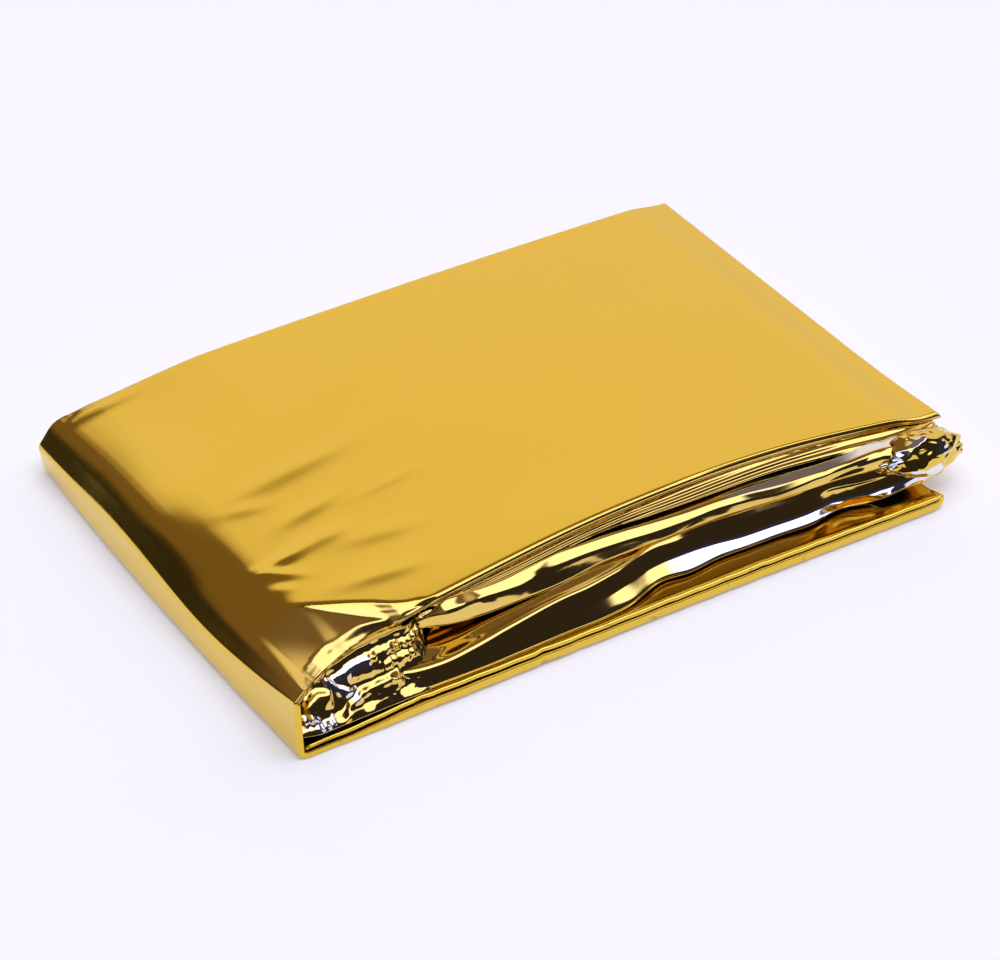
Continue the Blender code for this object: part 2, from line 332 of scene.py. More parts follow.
# %% Heights of the packet
LENGTH, WIDTH, HEIGHT, GAP = 0.131, 0.090, 0.0133, 0.00035
CROWN, SWELL, RIGHT_DROOP, CORNER_DROOP = 0.0017, 0.0009, 0.0010, 0.0021
# The wrapped end's crease, at stations along Y: its height, how far in from the foot it stands, and
# the length of the shoulder above it
CREASE_Y = (-0.047, -0.035, -0.018, 0.000, 0.013, 0.030, 0.046)
CREASE_HEIGHT = (0.0118, 0.0089, 0.0068, 0.0073, 0.0078, 0.0063, 0.0060)
CREASE_INSET = (0.0002, 0.0004, 0.0004, 0.0004, 0.0004, 0.0003, -0.0006)
SHOULDER_LENGTH = (0.0105, 0.0120, 0.0122, 0.0124, 0.0125, 0.0122, 0.0112)
# Share of the fall against share of the way down: at the back, the middle and the open side
WAY_DOWN = (0.0, 0.1, 0.2, 0.3, 0.4, 0.53, 0.64, 0.73, 0.8, 0.9, 1.0)
FALLS = ((0.0, 0.010, 0.023, 0.042, 0.068, 0.114, 0.180, 0.285, 0.429, 0.714, 1.0),
         (0.0, 0.009, 0.036, 0.098, 0.170, 0.282, 0.388, 0.492, 0.594, 0.800, 1.0),
         (0.0, 0.020, 0.088, 0.158, 0.228, 0.320, 0.397, 0.465, 0.550, 0.767, 1.0))


def smooth(share):
    """0 below 0, 1 above 1, and the cubic 3 s^2 - 2 s^3 between."""
    share = np.clip(share, 0.0, 1.0)
    return share * share * (3.0 - 2.0 * share)


def bell(distance, width):
    """exp(-(distance / width)^2)"""
    return np.exp(-((distance / width) ** 2))


def curve(at, stations, values):
    """A smooth line through the values at the stations, each bend a cubic with the mean slope."""
    stations, values = np.array(stations), np.array(values)
    slopes = np.gradient(values, stations)
    at = np.clip(at, stations[0], stations[-1])
    i = np.clip(np.searchsorted(stations, at, side="right") - 1, 0, len(stations) - 2)
    step = stations[i + 1] - stations[i]
    t = (at - stations[i]) / step
    rise = smooth(t)
    bend = t * (1.0 - t) * ((1.0 - t) * slopes[i] - t * slopes[i + 1])
    return values[i] * (1.0 - rise) + values[i + 1] * rise + step * bend


def wall_x(y):
    """The wrapped end's foot: a slanted line, bowed out by 0.9 mm in the middle by a parabola."""
    return -0.0675 - 0.016 * y - 0.0009 * (1.0 - (y / (0.5 * WIDTH)) ** 2)


def packet_height(x, y):
    """Top face: a low crown, (1 - x^2)(1 - 0.35 y^2) in shares of the half sides, a swell over the
    rolls, a droop at the right and one at the back left corner, and a shoulder to the end's crease."""
    across = np.clip(1.0 - (x / (0.53 * LENGTH)) ** 2, 0.0, 1.0)
    height = HEIGHT + CROWN * across * (1.0 - 0.35 * (y / (0.5 * WIDTH)) ** 2)
    height = height + SWELL * bell(y + 0.42 * WIDTH, 0.014) * across
    height = height - RIGHT_DROOP * smooth((x - 0.44 * LENGTH) / 0.009)
    to_corner = smooth((-0.48 * LENGTH + 0.030 - x) / 0.030)
    height = height - CORNER_DROOP * to_corner * smooth((y + 0.040 - 0.5 * WIDTH) / 0.040)
    length = curve(y, CREASE_Y, SHOULDER_LENGTH)
    start = wall_x(y) + curve(y, CREASE_Y, CREASE_INSET) + length
    down = np.clip((start - x) / length, 0.0, 1.0)
    back, front = smooth((y + 0.012) / 0.020), smooth((-0.018 - y) / 0.014)
    parts = (back, 1 - back - front, front)
    fall = sum(part * curve(down, WAY_DOWN, shares) for part, shares in zip(parts, FALLS))
    return height - (height - curve(y, CREASE_Y, CREASE_HEIGHT)) * fall


# %% Folds from the bottom up: thickness and the two ends, in mm
THICK = np.array([3.05, 0.95, 3.0, 1.7, 1.7, 3.0, 1.2, 1.2])
LEFT = np.array([-60.0, -65.2, -62.0, -61.2, -61.2, -58.8, -58.8, -60.0]) * MM
RIGHT = np.array([64.5, 65.0, 65.5, 66.0, 66.2, 66.5, 66.5, 67.2]) * MM
BACK = np.array([45.5, 46.2, 46.8, 47.2, 46.8, 46.2, 45.2, 44.9]) * MM
TOP = len(THICK) - 1

# Front edges of the sheet's outer folds, in mm: stations along X, and the Y of each fold there
EDGE_X = np.array([-66.0, -60.4, -55.3, -49.0, -43.0, -36.0, -30.0, 0.0, 35.0, 62.0]) * MM
EDGE_Y = {
    0: np.array([-46.9, -47.0, -47.2, -47.4, -47.5, -47.7, -47.8, -48.2, -49.0, -49.7]) * MM,
    1: np.array([-46.3, -46.4, -46.6, -46.8, -47.0, -47.2, -47.4, -48.0, -48.8, -49.6]) * MM,
    TOP: np.array([-45.6, -43.5, -42.4, -41.3, -40.0, -39.0, -38.4, -35.8, -36.2, -40.0]) * MM,
}


BRIM_DIP = 0.00055  # the lips are this much lower behind their brims


def layer_span(number, x, y):
    """Bottom and top of one fold: the thicknesses share out the height left over by the gaps. The
    lowest fold thins towards the wrapped end."""
    shares = np.array([np.full(np.broadcast(x, y).shape, thick) for thick in THICK])
    shares[0] = shares[0] * (1.0 - 0.45 * smooth((-0.044 - x) / 0.014))
    thick = shares * (packet_height(x, y) - GAP * TOP) / shares.sum(axis=0)
    low = thick[:number].sum(axis=0) + GAP * number
    high = low + thick[number]
    behind = y - curve(x, EDGE_X, EDGE_Y[1])
    dip = BRIM_DIP * smooth(behind / 0.0045) * smooth((0.013 - behind) / 0.004)
    return low - dip * (number in (1, 2)), high - dip * (number in (0, 1))


def right_end(number, y):
    """Where a fold ends on the right: the lips stop short of the burst corner, the top reaches out."""
    reach, width = {0: (-4.2, 19.5), 1: (-4.0, 19.5), TOP: (1.2, 15.0)}.get(number, (0.0, 7.5))
    return RIGHT[number] + reach * MM * bell(y + 0.044, width * MM)


print("top face stands", round(float(packet_height(0, 0)) * 1000, 2), "mm over the table")

# %% [markdown]
# ## Pieces from rings
# A fold of foil is a flattened tube. So each piece is a ring of points carried along a path, as a
# sweep is, with its first and last rings filled. The cover's ring runs along the outer side from
# front to back, round the back edge, home along the inner side, and round the front edge. Edges
# where several plies end together have small lobes, one for each ply.

# %% Mesh from rings
def mesh_from_rings(name, rings, silver, edge, material):
    """rings is (stations, points, 3) in metres. Quads join neighbours, and a flat face fills each end."""
    count, around = rings.shape[:2]
    index = np.arange(count * around).reshape(count, around)
    a, b = index[:-1], index[1:]
    quads = np.stack([a, b, np.roll(b, -1, axis=1), np.roll(a, -1, axis=1)], axis=-1).reshape(-1, 4)
    faces = quads.tolist() + [index[0].tolist(), index[-1][::-1].tolist()]
    mesh = bpy.data.meshes.new(name)
    points = rings.reshape(-1, 3) + SHIFT * MM
    mesh.from_pydata(points.tolist(), [], faces)
    # The first number is the share of silver: the silver side, and on the cover's dents a painted highlight
    # paling.
    for label, values in (("silver_side_and_painted_pale", silver), ("fold_edge", edge)):
        layer = mesh.attributes.new(label, "FLOAT", "POINT")
        layer.data.foreach_set("value", np.broadcast_to(values, (count, around)).astype(np.float32).ravel())
    mesh.materials.append(material)
    triangles = points[quads[:, [0, 1, 2, 0, 2, 3]].reshape(-1, 3)]
    if np.einsum("ij,ij->i", triangles[:, 0], np.cross(triangles[:, 1], triangles[:, 2])).sum() < 0:
        mesh.flip_normals()
    mesh.shade_smooth()
    piece = bpy.data.objects.new(name, mesh)
    bpy.context.scene.collection.objects.link(piece)
    return piece


def dress(piece, rings, knot=False):
    """The piece rides on the packet, stands for its solid, and says its flat size as a strip: the
    mean length of its path, by the width that gives the strip half of the piece's closed surface.
    A crumpled knot opens to a square of that area instead."""
    half = sum(face.area for face in piece.data.polygons) / 2
    along = np.linalg.norm(np.diff(rings, axis=0), axis=-1).sum(axis=0).mean()
    along = math.sqrt(half) if knot else along
    around = half / along
    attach(piece, "root")
    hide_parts("foil_blanket")
    size = f"{around * 1000:.0f} x {along * 1000:.0f} mm"
    print(piece.name, len(piece.data.vertices), "points, strip", size)
    return piece


def crumple(u, v, seed, folds, reach, height):
    """Crushed film: the sum of short straight creases, each height * |distance from its line| / reach,
    fading with a bell over its reach. u, v and reach share one unit."""
    rng = np.random.default_rng(seed)
    total = np.zeros(np.broadcast(u, v).shape)
    for _ in range(folds):
        at_u, at_v = rng.uniform(np.min(u), np.max(u)), rng.uniform(np.min(v), np.max(v))
        turn, sign = rng.uniform(0, np.pi), rng.choice((-1.0, 1.0))
        line = (u - at_u) * np.cos(turn) + (v - at_v) * np.sin(turn)
        total += sign * np.abs(line) / reach * np.exp(-((u - at_u) ** 2 + (v - at_v) ** 2) / reach**2)
    return height * total


# %% [markdown]
# ## The cover
# One leaf is the top face, wraps round the left end, lies under the packet and turns back on itself
# at the right as the two lips of the open side. It is swept along that path. The ring is dense
# near the open side, where the creases are, and sparse at the back.

# %% The cover's ring
def cover_ring(outer=108, inner=28, rim=27):
    """Two arrays over the ring: p, the share of the way from the front edge to the back one, and w,
    the side, from 1 on the outer face to -1 on the inner."""
    near = np.linspace(0.0, 1.0, outer) ** 1.35
    far = np.linspace(0.0, 1.0, inner) ** 1.5
    turn = np.linspace(np.pi / 2, -np.pi / 2, rim)[1:-1]
    p = np.concatenate([near, np.ones(rim - 2), far[::-1], np.zeros(rim - 2)])
    w = np.concatenate([np.ones(outer), np.sin(turn), -np.ones(inner), np.sin(-turn)])
    return p, w


def rim_inset(w, outer, inner, lobes, depth, bevel=0.0):
    """Way in from an edge at side w, in half thicknesses: 1 - (1 - |w|^n)^(1/n), a superellipse with
    a power n for each side, plus a groove between each two plies, plus a bevel on the outer side."""
    power = np.where(w > 0, outer, inner)
    round_off = 1.0 - (1.0 - np.abs(w) ** power) ** (1.0 / power)
    height = (w + 1.0) / 2.0
    groove = (1.0 - np.abs(np.sin(np.pi * lobes * height))) ** 3 * (1.0 - (2.0 * height - 1.0) ** 6)
    return round_off + depth * groove + bevel * np.maximum(w - 0.4, 0.0) / 0.6


def lip_crinkle(x):
    """Small dents of a lip's edge: a bell for each place where it was knocked, in mm."""
    knocks = ((-43.5, 0.5, 0.28), (-21.0, 0.7, 0.16), (-14.5, 0.5, 0.22), (3.6, 0.6, 0.2), (24.0, 1.2, 0.08))
    return sum(depth * bell(x / MM - at, width) for at, width, depth in knocks) + 0.03 * np.sin(x / MM * 0.9)


def leaf(number, x, p, w, *rim):
    """One flat run of the cover at stations x: the middle and half the thickness at each ring point.
    The rim's powers, lobes, depth and bevel go on to rim_inset."""
    front = curve(x, EDGE_X, EDGE_Y[number])[:, None]
    low, high = layer_span(number, x, np.full_like(x, -0.45 * WIDTH))
    half = ((high - low) / 2)[:, None]
    inset = rim_inset(w, *rim) * half
    if number < TOP:  # the lips are a little crinkled, the upper one more
        inset = inset + lip_crinkle(x)[:, None] * (1 + number) * MM
    y = front + inset + p * (BACK[number] - front - 2 * inset)
    even = (x[:, None] - LEFT[number]) / (RIGHT[number] - LEFT[number])
    x = x[:, None] + (right_end(number, y) - RIGHT[number]) * smooth((even - 0.6) / 0.4)
    low, high = layer_span(number, x, y)
    return np.stack([x + 0 * y, y, (low + high) / 2], axis=-1), (high - low) / 2


# %% Round the wrapped end, and the fold at the right
def wrap(top_end, bottom_end, half_top, half_bottom):
    """Round the left end: down the shoulder (a), down the wall (b), a quarter turn at the foot (c).
    The outer face is drawn, and the middle lies half a thickness inside it."""
    down, up = np.linspace(0, 1, 37)[1:], np.linspace(1, 0, 13)[1:]
    foot, radius = np.radians(np.linspace(0, 90, 8)[1:]), 0.0017
    steps = len(down) + len(up) + len(foot) + 1
    share = (np.arange(1, steps) / steps)[:, None]
    y = top_end[:, 1] + (bottom_end[:, 1] - top_end[:, 1]) * share
    half = half_top + (half_bottom - half_top) * share
    inset, crease = curve(y, CREASE_Y, CREASE_INSET), curve(y, CREASE_Y, CREASE_HEIGHT)
    x, z = wall_x(y), np.zeros_like(y)
    a, b = slice(0, len(down)), slice(len(down), len(down) + len(up))
    c = slice(len(down) + len(up), None)
    x[a] = top_end[:, 0] + (x + inset - top_end[:, 0])[a] * down[:, None]
    z[a] = packet_height(x, y)[a]
    x[b] += inset[b] * up[:, None]
    z[b] = radius + (crease[b] - radius) * up[:, None]
    x[c] += radius * (1.0 - np.cos(foot))[:, None]
    z[c] = radius * (1.0 - np.sin(foot))[:, None]
    surface = np.stack([x, y, z], axis=-1)
    for _ in range(2):  # the crease is a soft one
        middle = slice(len(down) - 3, len(down) + 3)
        mean = (surface[:-2] + 2 * surface[1:-1] + surface[2:]) / 4
        surface[1:-1][middle] = mean[middle]
    upwards = np.array([0.0, 0.0, 1.0])
    whole = np.concatenate([[top_end + upwards * half_top[:, None]], surface,
                            [bottom_end - upwards * half_bottom[:, None]]])
    along = whole[2:] - whole[:-2]
    outwards = np.stack([along[..., 2], 0 * y, -along[..., 0]], axis=-1)
    outwards /= np.linalg.norm(outwards, axis=-1, keepdims=True)
    return surface - outwards * half[..., None], outwards, half


def tight_fold(start, end, half_start, half_end):
    """A half turn to the right, round the gap between the ends of two folds."""
    turn = np.linspace(0.0, np.pi, 12)[1:-1][:, None]
    share = turn / np.pi
    half = half_start + (half_end - half_start) * share
    base = start + (end - start) * share[..., None]
    base[..., 2] = start[:, 2] + half_start + GAP / 2
    outwards = np.stack([np.sin(turn) + 0 * half, 0 * half, -np.cos(turn) + 0 * half], axis=-1)
    return base + outwards * (half + GAP / 2)[..., None], outwards, half


# %% [markdown]
# ### Creases of the cover
# Near the open corner the top leaf dips in two steps: a long leaf-shaped facet, and a crescent along
# the edge. Both are pushed away from the eye rather than straight down, so that each crease stays
# where it was drawn while its face turns towards the light. A few long, shallow ripples run over
# the left third of the top, and two very faint ones over the rest.

# %% Dents and ripples of the top
AWAY = np.array([0.703, 1.125, -1.0])  # one step down, seen end-on from the camera
# Facet: X of the stations, then Y of its upper and lower line. Crescent: X, then Y of its upper line
FACET = np.array([[-56.6, -54.1, -52.3, -48.8, -45.4, -42.8, -40.7, -38.2, -35.9],
                  [-26.7, -27.9, -29.0, -31.0, -33.2, -35.3, -36.5, -37.1, -38.0],
                  [-27.0, -29.9, -32.0, -35.6, -38.6, -40.0, -41.0, -41.0, -41.0]]) * MM
CRESCENT = np.array([
    [-65.2, -64.2, -61.9, -59.9, -57.6, -55.7, -52.7, -50.3, -48.2, -46.3, -43.0, -39.0],
    [-44.6, -42.3, -40.3, -39.1, -38.3, -38.2, -37.9, -37.6, -38.1, -38.7, -38.8, -39.0]]) * MM
FACET_SLOPE, VALLEY_SLOPE, CRESCENT_SLOPE = 0.315, 0.20, 0.43
BEVEL = 0.0013  # the top leaf bends down over this width along its front edge
# Ripples: middle x, y, half length, half width, direction in degrees, height, all lengths in mm
RIPPLES = (
    (-38.7, 5.0, 13.5, 2.4, 8, 0.30), (-51.2, -0.4, 4.5, 1.5, -10, 0.14),
    (-41.6, -6.4, 6.5, 1.7, 12, 0.22), (-26.7, -7.1, 7.0, 1.1, 6, 0.10),
    (-51.7, -15.6, 4.6, 1.2, 9, 0.40), (-42.4, -14.3, 5.5, 1.7, 3, 0.22),
    (-55.6, -18.0, 4.4, 1.2, -30, 0.42), (-40.0, -28.2, 7.5, 1.9, -8, 0.22),
    (-34.8, -18.4, 8.0, 2.3, -8, 0.20), (-56.0, -22.3, 2.5, 1.1, -21, 0.12),
    (-67.6, 27.6, 2.6, 0.9, -40, 0.25), (-67.0, 25.2, 2.2, 0.7, -20, 0.18),
    (-59.9, 42.4, 8.0, 1.2, 1, 0.30), (-66.4, 40.6, 3.2, 0.7, 30, 0.50),
    (-64.6, 42.8, 3.6, 0.7, 30, -0.45), (-20.0, 24.0, 30.0, 6.0, 20, 0.12),
    (30.0, 10.0, 34.0, 9.0, -25, 0.12),
)


def across_share(x, y, upper, lower):
    """0 on the upper line, 1 on the lower one, straight between."""
    return np.clip((upper - y) / np.maximum(upper - lower, 1e-4), 0.0, 1.0)


def dent_depth(x, y):
    """How far the top leaf sinks: a steady slope over the facet, a gentler one over the valley in
    front of it, a steeper one over the crescent, and a narrow bevel along the rest of the edge."""
    edge = np.interp(x, CRESCENT[0], CRESCENT[1])
    border = curve(x, EDGE_X, EDGE_Y[TOP])
    upper, lower = np.interp(x, FACET[0], FACET[1]), np.interp(x, FACET[0], FACET[2])
    lower = np.maximum(lower, edge)
    along = smooth((-0.0340 - x) / 0.006)
    share = across_share(x, y, upper, lower)
    flute = 0.006 * np.sin(2 * np.pi * (3 * share - 90 * x)) * smooth(4 * share) * smooth(4 - 4 * share)
    flute = flute * smooth((x + 0.050) / 0.006)
    depth = np.maximum(upper - lower, 0.0) * along * (FACET_SLOPE * share + flute)
    share = across_share(x, y, lower, edge)
    depth = depth + np.maximum(lower - edge, 0.0) * smooth((x + 0.066) / 0.018) * VALLEY_SLOPE * share
    width = np.maximum(edge - border, 0.0) * smooth((x + 0.0655) / 0.003) * smooth((-0.040 - x) / 0.006)
    share = np.clip((edge - y) / np.maximum(edge - border, 1e-4), 0.0, 1.25)
    flute = 0.004 * np.sin(2 * np.pi * (1.7 * share + 30 * x)) * smooth(4 * share)
    depth = depth + width * ((CRESCENT_SLOPE + 0.06 * smooth((-0.058 - x) / 0.005)) * share + flute)
    bevel = (0.33 + 0.11 * smooth((x - 0.010) / 0.014)) * smooth((x + 0.042) / 0.006)
    return depth + bevel * np.clip(BEVEL - (y - border), 0.0, BEVEL)


def leaf_height(x, y):
    """Height of the dented leaf over (x, y), and how far in front of its edge that is. The point is
    traced back along AWAY by the depth found there, a few times over."""
    at_x, at_y = x, y
    for _ in range(4):
        depth = dent_depth(at_x, at_y)
        at_x, at_y = x - depth * AWAY[0], y - depth * AWAY[1]
    return packet_height(at_x, at_y) - depth, curve(at_x, EDGE_X, EDGE_Y[TOP]) - at_y


def tuck(rings, room=0.00135):
    """Presses the points of an inner fold down to stay under the leaf, where the leaf covers them."""
    height, ahead = leaf_height(rings[..., 0], rings[..., 1])
    rings[..., 2] = np.minimum(rings[..., 2], height - room + 5.0 * np.maximum(ahead, 0.0))
    return rings


def ripple_height(x, y):
    """A sum of long soft bells, each turned to its own direction."""
    total = 0.0 * x * y
    for at_x, at_y, length, width, turn, height in RIPPLES:
        c, s = math.cos(math.radians(turn)), math.sin(math.radians(turn))
        along = (x - at_x * MM) * c + (y - at_y * MM) * s
        across = (y - at_y * MM) * c - (x - at_x * MM) * s
        total = total + height * MM * bell(along, length * MM) * bell(across, width * MM)
    return total


def dent(points, inside=1.0):
    """Moves points of the top leaf: up by the ripples, and away from the eye by the dents."""
    x, y = points[..., 0], points[..., 1]
    points = points + (dent_depth(x, y) * inside)[..., None] * AWAY
    points[..., 2] += ripple_height(x, y) * inside
    return points


# %% Sweep the cover
def build_cover():
    """Five parts in one sweep: top, wrapped end, underside, fold at the right, upper lip. The dents
    fade out down the wrapped end. Over the dents the gold is painted a little paler, as a painted
    highlight tint for the bright strip they mirror."""
    p, w = cover_ring()
    x_top = np.concatenate([np.arange(-60.0, -30.0, 0.45), np.arange(-30.0, 20.0, 1.1),
                            np.arange(20.0, 66.5, 1.8), [66.4, 66.8, 67.05, 67.2]]) * MM
    x_low = np.concatenate([np.arange(-60.0, 63.5, 1.7), [63.6, 64.0, 64.3, 64.5]]) * MM
    x_lip = LEFT[1] + (x_low - LEFT[0]) * (RIGHT[1] - LEFT[1]) / (x_low[-1] - LEFT[0])
    top, top_half = leaf(TOP, x_top, p, w, 2.0, 2.0, 2, 0.9)
    low, low_half = leaf(0, x_low, p, w, 2.1, 7.0, 1, 0.0)
    lip, lip_half = leaf(1, x_lip, p, w, 7.0, 7.0, 1, 0.0, 0.9)
    round_end, end_out, end_half = wrap(top[0], low[0], top_half[0], low_half[0])
    fold, fold_out, fold_half = tight_fold(low[-1], lip[-1], low_half[-1], lip_half[-1])
    up = np.array([0.0, 0.0, 1.0])
    rounding = np.sqrt(np.clip(1 - ((x_top - 0.0667) / 0.0005).clip(0) ** 2, 0.02, 1))[:, None]
    parts = [
        (top[::-1], up, (top_half * rounding)[::-1]), (round_end, end_out, end_half),
        (low, -up, low_half), (fold, fold_out, fold_half), (lip[::-1], up, lip_half[::-1]),
    ]
    rings = [middle + out * (half * w)[..., None] for middle, out, half in parts]
    rings[0] = dent(rings[0])
    fade = np.concatenate([np.ones(12), np.linspace(1, 0, 10), np.zeros(len(rings[1]) - 22)])
    rings[1] = dent(rings[1], fade[:, None])
    rings = np.concatenate(rings)
    rings[..., 2] = np.maximum(rings[..., 2], 0.0)
    edge = (np.abs(w) < 0.97) & (p < 0.5)
    # Painted highlight: over the dents, which mirror the bright strip, the gold is mixed a tenth of the way
    # to silver.
    painted_highlight_pale = 0.10 * smooth(dent_depth(rings[..., 0], rings[..., 1]) / 0.0003) * (rings[..., 2] > 0.009)
    piece = mesh_from_rings("cover_leaf", rings, painted_highlight_pale, edge.astype(float), FLAT_FOIL)
    return dress(piece, rings)


cover = build_cover()

# %% [markdown]
# ## The inner folds
# Between the cover's leaves lie the rest of the folds, pressed flat inside and puffed out into long
# rolls at the open side. A roll's front is drawn at nineteen stations by its corners, from the brow
# down to the foot. The corners are rounded with a small parabola, which keeps the straight bright
# bands that folded film has.

# %% Profiles of the rolls
def rounded_line(corners, cuts, counts):
    """Corners is (stations, corners, 2). Each inner corner becomes the parabola from cut of the way
    back to cut of the way on, and straight runs are filled in between."""
    pieces, last = [], corners[:, 0]
    for i in range(1, corners.shape[1] - 1):
        before = corners[:, i] + (corners[:, i - 1] - corners[:, i]) * cuts[i - 1]
        after = corners[:, i] + (corners[:, i + 1] - corners[:, i]) * cuts[i - 1]
        t = np.linspace(0, 1, counts[i - 1], endpoint=False)[None, :, None]
        pieces.append(last[:, None] * (1 - t) + before[:, None] * t)
        t = np.linspace(0, 1, 6, endpoint=False)[None, :, None]
        bend = 2 * t * (1 - t) * corners[:, i][:, None]
        pieces.append((1 - t) ** 2 * before[:, None] + bend + t**2 * after[:, None])
        last = after
    t = np.linspace(0, 1, counts[-1])[None, :, None]
    pieces.append(last[:, None] * (1 - t) + corners[:, -1][:, None] * t)
    return np.concatenate(pieces, axis=1)


def roll_rings(x, stations, table, low_layer, high_layer, cuts, counts, plies, back):
    """Rings of an inner fold, and how many of a ring's points are its front. The front follows the
    table of corners, (stations, corners, y and z), and the inside fills the room between the drawn
    layers. The back edge has one lobe a ply."""
    inner_y = -0.0335
    corners = np.stack([np.stack([curve(x, stations, table[:, i, k]) for k in (0, 1)], axis=-1)
                        for i in range(table.shape[1])], axis=1) * MM
    start = np.stack([0 * x + inner_y, layer_span(high_layer, x, 0 * x + inner_y)[1]], axis=-1)
    stop = np.stack([0 * x + inner_y, layer_span(low_layer, x, 0 * x + inner_y)[0]], axis=-1)
    front = rounded_line(np.concatenate([start[:, None], corners, stop[:, None]], axis=1), cuts, counts)
    share = np.linspace(0, 1, 14)[1:] ** 1.2
    turn = np.linspace(-np.pi / 2, np.pi / 2, 8 * plies + 1)[1:-1]
    y = inner_y + (back - 0.0015 - inner_y) * share
    wide = np.broadcast_to(y, (len(x), len(y)))
    low = layer_span(low_layer, x[:, None], wide)[0]
    high = layer_span(high_layer, x[:, None], wide)[1]
    rim_y = back - 0.0015 * rim_inset(np.sin(turn), 2.2, 2.2, plies, 0.35)
    rim_z = (low[:, -1:] + high[:, -1:]) / 2 + (high[:, -1:] - low[:, -1:]) / 2 * np.sin(turn)
    rim = np.stack([np.broadcast_to(rim_y, rim_z.shape), rim_z], axis=-1)
    under, over = np.stack([wide, low], axis=-1), np.stack([wide, high], axis=-1)[:, ::-1]
    ring = np.concatenate([front, under, rim, over[:, :-1]], axis=1)
    wide_x = np.broadcast_to(x[:, None, None], ring[..., :1].shape)
    return np.concatenate([wide_x, ring], axis=-1), front.shape[1]


def close_ends(rings, x, half=0.0013):
    """Rounds both ends of a tube: near an end, heights shrink to the ring's middle as a circle does."""
    reach = np.minimum(x - x[0], x[-1] - x)
    share = np.sqrt(np.clip(1 - (1 - np.minimum(reach / half, 1)) ** 2, 0.02, 1))[:, None]
    middle = (rings[..., 2].max(axis=1) + rings[..., 2].min(axis=1))[:, None] / 2
    rings[..., 2] = middle + (rings[..., 2] - middle) * share
    return rings


def ring_normals(rings):
    """Outward normals of the rings in their own planes: the tangent turned by a quarter."""
    along = np.roll(rings, -1, axis=1) - np.roll(rings, 1, axis=1)
    normal = np.stack([0 * along[..., 0], along[..., 2], -along[..., 1]], axis=-1)
    return -normal / np.maximum(np.linalg.norm(normal, axis=-1, keepdims=True), 1e-9)


def end_stations(left, right, step):
    """Stations along X in metres, crowded within 1.5 mm of both ends."""
    ends = np.array([0.0, 0.12, 0.35, 0.7, 1.1])
    return np.concatenate([left + ends, np.arange(left + 1.5, right - 1.4, step), (right - ends)[::-1]]) * MM


# %% The upper roll
# Stations along X in mm, and at each: brow y z, nose y z, foot y z
UPPER_X = np.array([-60, -44, -39, -35.5, -28, -20, -11, -5, 1, 7.5, 13.5, 20, 26, 32.5, 39, 45.5,
                    52, 60, 67]) * MM
UPPER = np.array([
    [[-34.5, 10.6], [-35.5, 9.8], [-36, 8.2]],
    [[-34.5, 11.6], [-35.8, 10.6], [-36.4, 8.6]],
    [[-36.5, 12.2], [-37.8, 11.2], [-38.6, 9.4]],
    [[-38.6, 13.97], [-40.35, 12.83], [-41.3, 10.4]],
    [[-38.0, 13.43], [-39.9, 12.2], [-41.2, 9.06]],
    [[-37.7, 13.18], [-40.04, 11.66], [-41.2, 8.84]],
    [[-37.3, 13.02], [-39.2, 11.79], [-40.7, 8.0]],
    [[-37.4, 12.7], [-39.0, 11.66], [-40.2, 8.7]],
    [[-37.4, 12.25], [-39.0, 11.2], [-40.0, 8.84]],
    [[-37.6, 11.62], [-39.1, 10.65], [-39.9, 8.76]],
    [[-38.0, 11.34], [-39.2, 10.54], [-39.9, 8.8]],
    [[-38.2, 11.3], [-39.3, 10.65], [-40.1, 8.74]],
    [[-38.5, 10.8], [-39.5, 10.0], [-40.1, 8.27]],
    [[-39.3, 10.4], [-40.4, 9.5], [-40.8, 8.4]],
    [[-40.2, 10.8], [-41.1, 10.2], [-41.7, 8.4]],
    [[-41.1, 11.2], [-42.0, 10.6], [-42.6, 8.9]],
    [[-41.8, 11.8], [-43.2, 11.0], [-43.8, 9.3]],
    [[-43.0, 11.6], [-44.6, 10.6], [-45.0, 8.6]],
    [[-43.0, 11.0], [-44.6, 10.0], [-45.0, 8.4]],
])


def build_upper_roll():
    """Its front is lumpy, most of all at the right, where its upper strip shows the silver side."""
    x = end_stations(-59.0, 66.4, 0.42)
    cuts, counts = (0.12, 0.16, 0.3), (6, 9, 12, 8)
    rings, front = roll_rings(x, UPPER_X, UPPER, 4, 5, cuts, counts, 4, 0.0468)
    normals = ring_normals(rings)
    place = np.arange(rings.shape[1])[None, :] / front
    u, v = rings[..., 0] / MM, place * 14.0 + 0 * rings[..., 0]
    mask = bell(place - 0.55, 0.42) * (place < 1)
    wild = 0.18 + 0.9 * bell(u + 22, 9) * bell(place - 0.45, 0.2) + 1.6 * smooth((u - 34) / 16)
    lumps = crumple(u, v, SEED, 160, 5.0, 0.5) + crumple(u, v * 0.5, SEED + 1, 60, 14.0, 0.7)
    rings = rings + normals * (lumps * mask * wild * 0.5 * MM)[..., None]
    rings = close_ends(tuck(rings, 0.0026), x)
    silver = np.maximum(smooth((u - 20) / 6) * (place < 0.17), 0.10)
    piece = mesh_from_rings("upper_roll", rings, silver, 0.0, FOLD_FOIL)
    return dress(piece, rings)


upper_roll = build_upper_roll()

